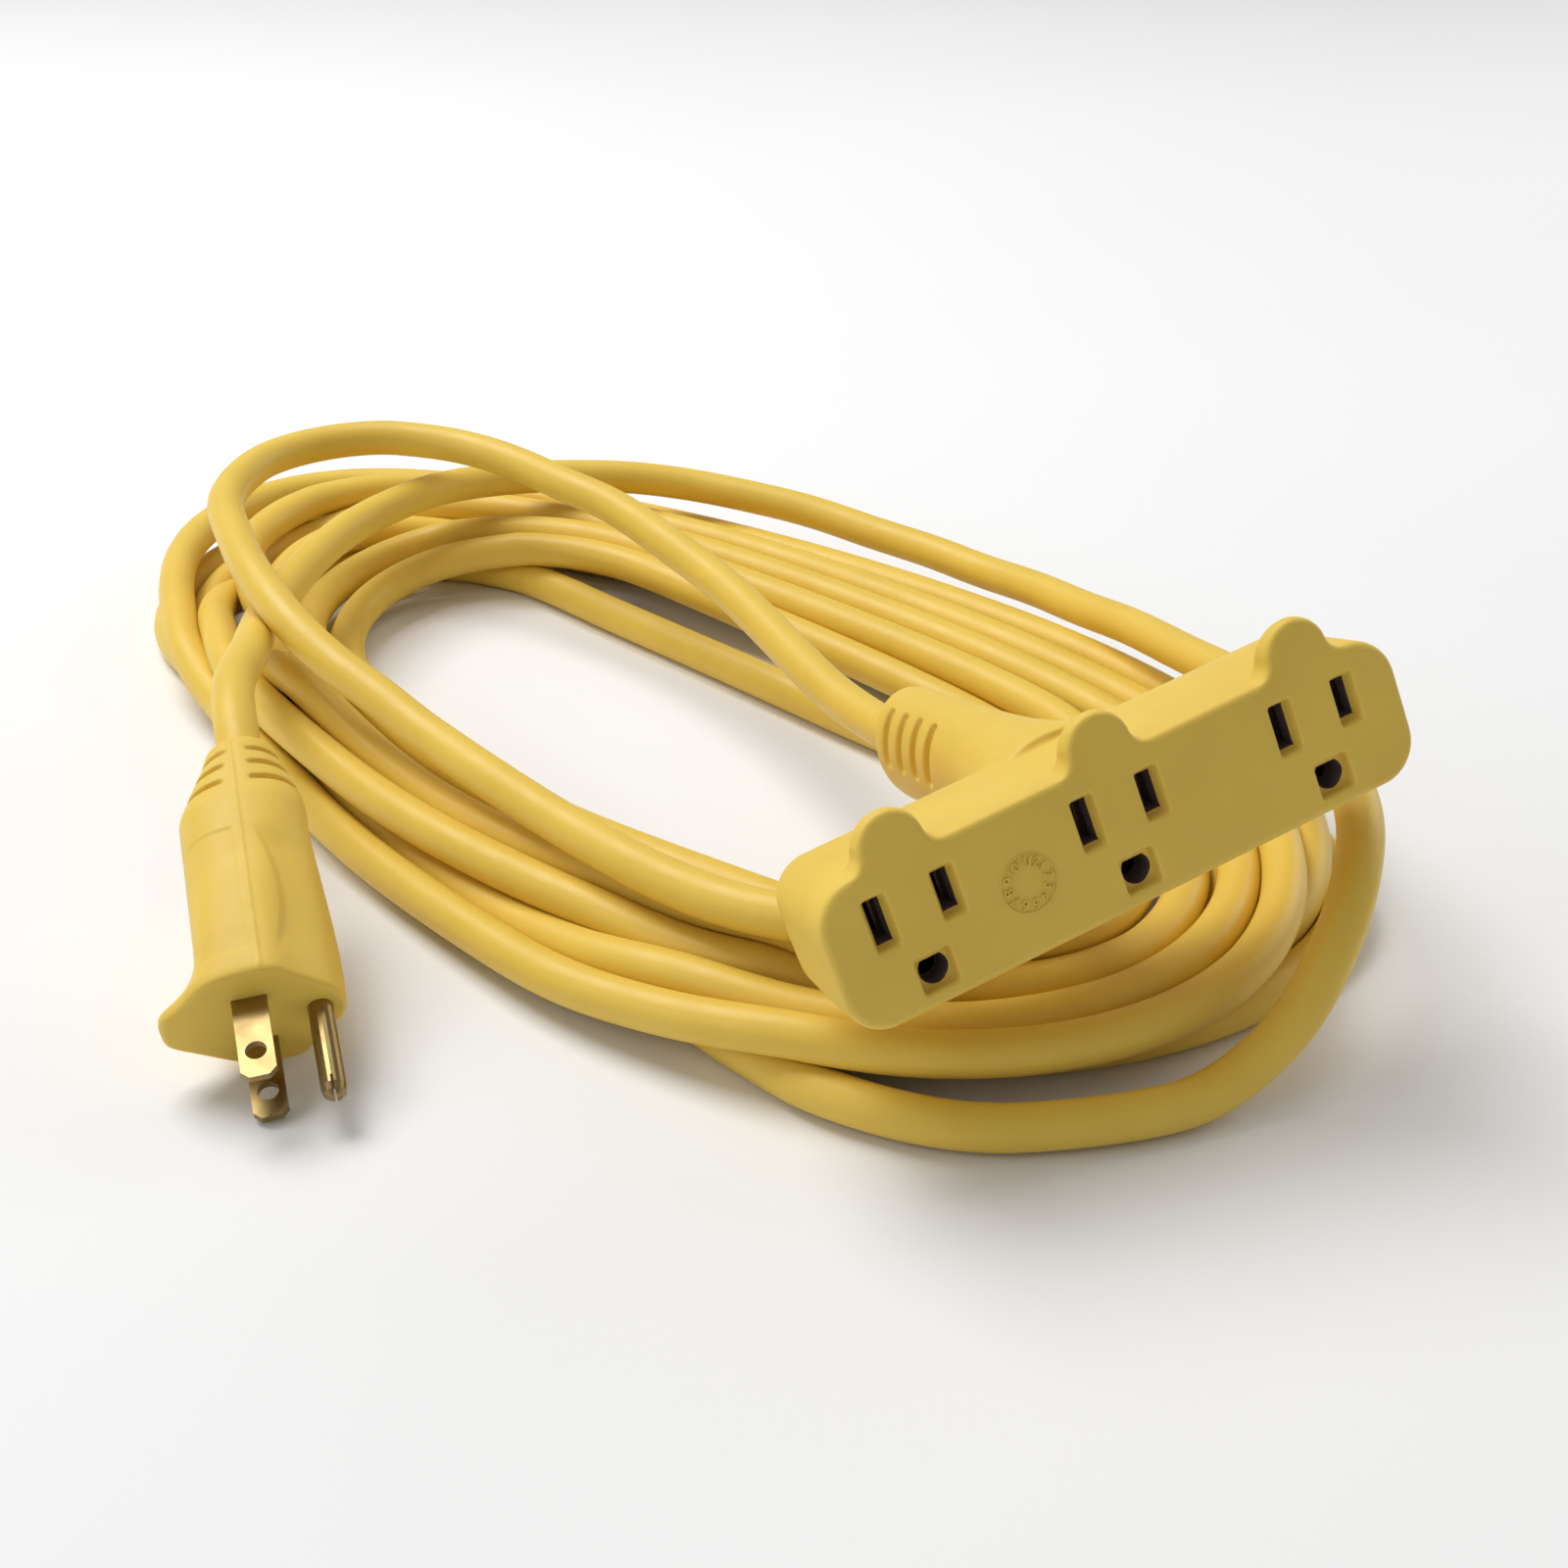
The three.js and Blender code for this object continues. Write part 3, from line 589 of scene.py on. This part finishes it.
def thumb_tab(x):
    """A half-round lip on the top edge, flush with the face, thinner at its top than at its base."""
    r = TAB_W / 2
    base, top = BODY_H / 2, BODY_H / 2 + TAB_RISE
    outline = [(x - r - out, base + up) for out, up in TAB_FOOT]
    for k in range(13):
        angle = math.pi - math.pi * k / 12
        outline.append((x + r * math.cos(angle), top - r + r * math.sin(angle)))
    outline += [(2 * x - px, pz) for px, pz in outline[3::-1]]
    back = [TAB_DEPTH - TAB_SLOPE * max(0, pz - base) for _, pz in outline]
    rings = [[(x + (px - x) * 0.93, 0, base + (pz - base) * 0.95) for px, pz in outline],
             [(px, 0.8, pz) for px, pz in outline],
             [(px, y - 0.8, pz) for (px, pz), y in zip(outline, back)],
             [(x + (px - x) * 0.9, y, base + (pz - base) * 0.93)
              for (px, pz), y in zip(outline, back)]]
    return loft(rings)


# the neck's sections: place along it, half width and half height
NECK_ROWS = [
    (-2, 17.5, 13.2), (4, 15.6, 13), (8, 13.6, 12.8), (13, 11.8, 12.6), (20, 10.5, 12.5),
    (30, 9.9, 12.4), (42, 9.6, 12.3), (55, 9.4, 12.2), (57.4, 9.2, 11.9), (59, 8.4, 11.1),
    (59.8, 7.4, 10), (60, 6.4, 9),
]


def oval(rx, rz, y, sides=64):
    angles = [2 * math.pi * k / sides for k in range(sides)]
    return [(rx * math.cos(a), y, rz * math.sin(a)) for a in angles]


def groove(cx, y, rx, rz, first, last, half_width, depth):
    """A cutter for one groove round part of an oval, with rounded ends."""
    rings = []
    for k in range(17):
        angle = math.radians(first + (last - first) * k / 16)
        sink = depth * math.sin(math.pi * (k + 0.5) / 17) ** 0.35
        c, s = math.cos(angle), math.sin(angle)
        section = ((-sink, -half_width), (-sink, half_width),
                   (1.6, 1.5 * half_width), (1.6, -1.5 * half_width))
        rings.append([(cx + (rx + out) * c, y + across, (rz + out) * s) for out, across in section])
    return loft(rings)


def neck_grooves():
    """The rows of grooves on each side of the neck's end."""
    cutters = []
    for row in range(NECK_GROOVES):
        y = NECK_LENGTH - NECK_GROOVE_FIRST - NECK_GROOVE_PITCH * row
        for first in NECK_GROOVE_STARTS:
            cutters.append(groove(0, y, *NECK_GROOVE_OVAL, first, first + NECK_GROOVE_ARC,
                                  NECK_GROOVE_HALF_W, NECK_GROOVE_DEPTH))
    return cutters


def tapered_box(x, z, mouth, bottom, depth):
    """A rectangular recess that narrows from its mouth, on the face, to its bottom."""
    rings = []
    for y, t in ((-2, -0.15), (0, 0), (depth, 1)):
        w, h = (mouth[k] + (bottom[k] - mouth[k]) * t for k in (0, 1))
        rings.append([(x - w / 2, y, z - h / 2), (x + w / 2, y, z - h / 2),
                      (x + w / 2, y, z + h / 2), (x - w / 2, y, z + h / 2)])
    return loft(rings)


def outlet_cuts(x):
    """The recesses of one outlet: two blade pockets and the ground pocket."""
    return [tapered_box(x + dx, z, mouth, bottom, POCKET_DEPTH) for dx, z, mouth, bottom in POCKETS]


def outlet_slots(x):
    """The slots and the D-shaped ground opening behind one outlet's pockets."""
    near, far = POCKET_DEPTH - 0.6, SLOT_DEPTH
    cutters = []
    for dx, half_h in ((-SLOT_PITCH / 2, NEUTRAL_HALF_H), (SLOT_PITCH / 2, HOT_HALF_H)):
        cutters.append(box_mesh(x + dx - SLOT_HALF_W, x + dx + SLOT_HALF_W, near, far,
                                SLOT_Z - half_h, SLOT_Z + half_h))
    cutters.append(round_mesh(GROUND_R, near, far, x, GROUND_Z, flat_top=GROUND_FLAT))
    return cutters


def dial_number(hour):
    """One number of the dial, standing up on its ring."""
    text = bpy.data.curves.new("number", "FONT")
    text.body = str(hour)
    text.size = 2.6 * MM
    text.extrude = 0.34 * MM
    text.align_x = "CENTER"
    text.align_y = "CENTER"
    label = new_object("number", text)
    depsgraph = bpy.context.evaluated_depsgraph_get()
    mesh = bpy.data.meshes.new_from_object(label.evaluated_get(depsgraph))
    bpy.data.objects.remove(label)
    angle = math.radians(DIAL_TURN - 30 * hour)
    x, z = DIAL_AT[0] + DIAL_R * math.cos(angle), DIAL_AT[1] + DIAL_R * math.sin(angle)
    upright = turn("X", 90) @ Matrix.Rotation(angle - math.pi / 2, 4, "Z")
    mesh.transform(Matrix.Translation(Vector((x, 0, z)) * MM) @ upright)
    return mesh


def make_dial(material):
    """A moulder's date dial: the numbers 1 to 12 in a ring, standing slightly proud of the face."""
    rim = []
    for k in range(97):
        c, s = math.cos(2 * math.pi * k / 96), math.sin(2 * math.pi * k / 96)
        rim.append([(DIAL_AT[0] + r * c, y, DIAL_AT[1] + r * s) for r, y in DIAL_RIM])
    dial = join("date_dial", [*[dial_number(hour) for hour in range(1, 13)], loft(rim)])
    return finish_piece(dial, BLOCK, material, "yellow_vinyl")


def recess_faces(mesh):
    """The faces inside the slots, behind the pockets, which get the inner shell's dark plastic; its
    dark colour is painted shade for the deep slots.
    """
    found = []
    for face in mesh.polygons:
        x, y, z = face.center / MM
        if POCKET_DEPTH + 0.3 < y < SLOT_DEPTH + 0.5 and abs(x) < 50 and abs(z) < 11.8:
            found.append(face.index)
    return found


def make_block(material, dark):
    to_neck = BLOCK.inverted() @ NECK
    neck = loft([oval(rx, rz, y) for y, rx, rz in NECK_ROWS])
    neck.transform(to_neck)
    block = join("outlet_block", [block_body(), *[thumb_tab(x) for x in OUTLETS], neck])
    soften(block, voxel=0.5, rounds=1)
    grooves = join("grooves", neck_grooves())
    grooves.data.transform(to_neck)
    carve(block, grooves)
    carve(block, join("pockets", [cut for x in OUTLETS for cut in outlet_cuts(x)]))
    soften(block, voxel=0.4, rounds=2)
    bore = round_mesh(CORD_BORE_R, NECK_LENGTH / 2, NECK_LENGTH + 3)
    bore.transform(to_neck)
    carve(block, join("slots", [cut for x in OUTLETS for cut in outlet_slots(x)] + [bore]))
    # the slot walls get the dark plastic: painted shade inside the deep slots
    recessed = recess_faces(block.data)
    finish_piece(block, BLOCK, material, "yellow_vinyl", "outlet_overmould")
    block.data.materials.append(dark)
    for index in recessed:
        block.data.polygons[index].material_index = 1
    return block


# ---- plug --------------------------------------------------------------------------------------

# outlines of the plug in its X-Z plane, point by point the same way round: at its face with the
# finger tab, and a little behind it; further back it is nearly an ellipse
PLUG_FACE = [
    (5.3, 13.9), (9.5, 10.2), (14.8, 4.9), (16.8, -0.5), (16, -3.9), (13.8, -6.7), (9.2, -11.5),
    (6.7, -13.4), (2.9, -13.7), (-4.2, -12.2), (-11, -7.4), (-16, -3.4), (-16.9, -0.4), (-16.4, 4),
    (-12.6, 7.4), (-7.6, 12.4), (-1.6, 14.2),
]
PLUG_WAIST = [
    (5.6, 13.6), (9.8, 10.2), (14.9, 5), (16.9, -0.5), (16.1, -4.2), (13.6, -7), (9.2, -11.2),
    (6.4, -12.9), (2.4, -13.2), (-3.8, -11.9), (-7.2, -7.6), (-8.8, -3), (-9.1, 0.5), (-8.9, 4.6),
    (-8.1, 8.6), (-6, 12), (-1.6, 13.7),
]
# depths near the face with the outline's scale there, and depths with the share of the way from
# the face's outline to the waist's, and from the waist's to the back's
PLUG_EDGE = [(0, 0.965), (0.5, 0.99), (1, 1), (2.4, 1)]
FACE_TO_WAIST = [(3.6, 0.3), (5, 0.58), (6.8, 0.8), (9, 0.94), (12, 1)]
WAIST_TO_BACK = [(20, 0.2), (28, 0.48), (36, 0.78)]
PLUG_BACK_ANGLES = (78, 52, 24, 0, -20, -38, -58, -74, -90, -114, -142, -164, 180, 160, 138, 116, 97)
PARTING_X = 3.4


def smooth_ring(corners, y, per=6):
    """A closed smooth curve through a few corner points, at depth y."""
    points = np.array(corners, float)
    curve = [spline_at(points, t, True) for t in np.arange(0, len(points), 1 / per)]
    return [(x, y, z) for x, z in curve]


def plug_oval(cx, rx, rz, squareness):
    """An oval with its corners at the angles of the outlines' corners."""
    corners = []
    for angle in PLUG_BACK_ANGLES:
        c, s = math.cos(math.radians(angle)), math.sin(math.radians(angle))
        corners.append((cx + rx * math.copysign(abs(c) ** squareness, c),
                        rz * math.copysign(abs(s) ** squareness, s)))
    return np.array(corners)


# the plug behind its waist: depth, centre in X, half width, half height and how square it is
PLUG_TAIL = [
    (44, 3.1, 12.2, 10.6, 0.84), (47.5, 3.2, 12.3, 10.3, 0.84), (49.2, 3.4, 12.1, 9.9, 0.86),
    (52, 3.7, 11.4, 9.4, 0.9), (57, 4.1, 9.7, 8.8, 0.94), (61, 4.4, 8.3, 8.1, 1),
    (64.4, 4.6, 7.4, 7.4, 1), (65.4, 4.6, 7, 7, 1), (66, 4.6, 6.2, 6.2, 1),
]

# the rows of grooves: depth, centre in X, half width and half height; and each row's four arcs
PLUG_GROOVE_ROWS = [(52, 3.7, 11.4, 9.4), (56.8, 4.1, 9.8, 8.8), (61.2, 4.4, 8.3, 8.1)]
PLUG_GROOVE_ARCS = [(14, 77), (103, 166), (194, 257), (283, 346)]
PLUG_GROOVE_HALF_W, PLUG_GROOVE_DEPTH = 0.55, 1.2
PANEL_SINK, SHOULDER_SINK, PARTING_RISE = 0.26, 0.95, 0.25


def plug_body():
    face, waist = np.array(PLUG_FACE), np.array(PLUG_WAIST)
    back = plug_oval(*PLUG_TAIL[0][1:])
    rows = [(y, face * scale) for y, scale in PLUG_EDGE]
    rows += [(y, face + (waist - face) * share) for y, share in FACE_TO_WAIST]
    rows += [(y, waist + (back - waist) * share) for y, share in WAIST_TO_BACK]
    rows += [(y, plug_oval(*size)) for y, *size in PLUG_TAIL]
    return loft([smooth_ring(corners, y) for y, corners in rows])


def plug_grooves():
    """The grooves round the plug's strain relief, broken by a smooth strip on each side."""
    return [groove(cx, y, rx, rz, first, last, PLUG_GROOVE_HALF_W, PLUG_GROOVE_DEPTH)
            for y, cx, rx, rz in PLUG_GROOVE_ROWS for first, last in PLUG_GROOVE_ARCS]


def edge(value, at, width):
    """0 below a threshold and 1 above it, with a smooth step between."""
    t = np.clip((value - at) / width + 0.5, 0, 1)
    return t * t * (3 - 2 * t)


def plug_relief(thing):
    """The grip panel, the scooped right shoulder and the raised parting line."""
    count = len(thing.data.vertices)
    places = np.empty(count * 3)
    thing.data.vertices.foreach_get("co", places)
    places = places.reshape(-1, 3) / MM
    normals = np.empty(count * 3)
    thing.data.vertices.foreach_get("normal", normals)
    normals = normals.reshape(-1, 3)
    x, y, z = places.T
    above = edge(np.abs(normals[:, 2]), 0.35, 0.3)
    panel = edge(y, 6, 0.8) * edge(-y, -38, 0.8)
    panel *= edge(x, -7.4, 0.8) * edge(-x, 1.6 - PARTING_X, 0.8)
    crest = 8.8 - 2.8 * ((y - 20) / 17) ** 2
    shoulder = edge(y, 8, 10) * edge(-y, -35, 7) * edge(x, crest, 1.3) * edge(-x, -12, 6)
    parting = np.exp(-((x - PARTING_X) / 0.3) ** 2) * edge(-y, -65, 1) * edge(y, 0.8, 0.6)
    lift = PARTING_RISE * parting - PANEL_SINK * panel - SHOULDER_SINK * shoulder
    places[:, 2] += np.sign(z) * lift * above
    thing.data.vertices.foreach_set("co", (places * MM).ravel())


def make_plug(material):
    plug = join("plug_body", [plug_body()])
    soften(plug, voxel=0.4, rounds=1)
    carve(plug, join("plug_grooves", plug_grooves()))
    soften(plug, voxel=0.36, rounds=3)
    plug_relief(plug)
    bore = round_mesh(CORD_BORE_R, 46, PLUG_LENGTH + 2, PLUG_AXIS_X)
    carve(plug, join("plug_bore", [bore]))
    return finish_piece(plug, PLUG, material, "yellow_vinyl", "plug_overmould")


# ---- floor and light ---------------------------------------------------------------------------

FLOOR_HALF = 6


def make_floor():
    mesh = bmesh.new()
    bmesh.ops.create_grid(mesh, x_segments=1, y_segments=1, size=FLOOR_HALF)
    data = bpy.data.meshes.new("floor")
    mesh.to_mesh(data)
    mesh.free()
    floor = new_object("floor", data)
    floor.location.z = FLOOR
    material, tree, shader = node_material("floor_paper")
    paper = grey_ramp(tree, noise(tree, 3, 2), 0.3, 0.7, 0.87, (0.01, 0.01))
    tree.links.new(paper, shader.inputs["Base Color"])
    shader.inputs["Roughness"].default_value = 0.9
    data.materials.append(material)


# the middle of the coil, in mm, and each lamp's name, place from there, size and power, in m and W
LIGHT_TARGET = (-10, 150, -40)
LAMPS = [
    ("key", (-0.45, 0.75, 1.5), 1.1, 25.5),
    ("side", (-1.5, -0.2, 0.9), 0.9, 4),
    ("fill", (1.5, 0.2, 0.6), 1.0, 5.5),
]
WORLD_STRENGTH = 0.32


def make_light():
    world = bpy.data.worlds.new("studio")
    world.use_nodes = True
    background = world.node_tree.nodes["Background"]
    background.inputs["Color"].default_value = (1, 1, 1, 1)
    background.inputs["Strength"].default_value = WORLD_STRENGTH
    bpy.context.scene.world = world
    bpy.context.scene.view_settings.view_transform = "Standard"
    target = Vector(LIGHT_TARGET) * MM
    for name, place, size, power in LAMPS:
        data = bpy.data.lights.new(name, "AREA")
        data.size = size
        data.energy = power
        lamp = bpy.data.objects.new(name, data)
        lamp.location = target + Vector(place)
        lamp.rotation_euler = (target - lamp.location).to_track_quat("-Z", "Y").to_euler()
        bpy.context.scene.collection.objects.link(lamp)


# ---- assembly ----------------------------------------------------------------------------------

CORD_NODES = ("cord_block_end", "cord_plug_end", "cord_coil")

make_camera()
yellow = vinyl("yellow_vinyl", (0.79, 0.55, 0.09), (0.75, 0.515, 0.08), 0.52)
jacket = vinyl("cord_vinyl", (0.80, 0.555, 0.085), (0.76, 0.52, 0.075), 0.42)
cord, cord_points = make_cord(jacket)
make_floor()
make_light()
# the inner shell's plastic; its dark colour is painted shade, matched to the shading in the deep
# slots
dark = plain_plastic("hard_vinyl", (0.085, 0.055, 0.055), 0.6)
block = make_block(yellow, dark)
make_dial(yellow)
plug = make_plug(yellow)

finishes = {
    "cord_jacket": jacket,
    "hard_vinyl": dark,
    "brass": metal("brass", (0.33, 0.235, 0.10), (0.27, 0.19, 0.08), 0.31),
    "copper": metal("copper", (0.80, 0.45, 0.25), (0.55, 0.27, 0.12), 0.3),
    "black_insulation": plain_plastic("black_insulation", (0.02, 0.02, 0.02), 0.45),
    "white_insulation": plain_plastic("white_insulation", (0.80, 0.79, 0.75), 0.45),
    "green_insulation": plain_plastic("green_insulation", (0.05, 0.25, 0.09), 0.45),
}
for subpart in frame["record"]["subparts"]:
    node = frame["nodes"][subpart["node"]]
    if subpart["material_slot"] in finishes:
        node.data.materials.clear()
        node.data.materials.append(finishes[subpart["material_slot"]])

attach(cord, "root")
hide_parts(*CORD_NODES)
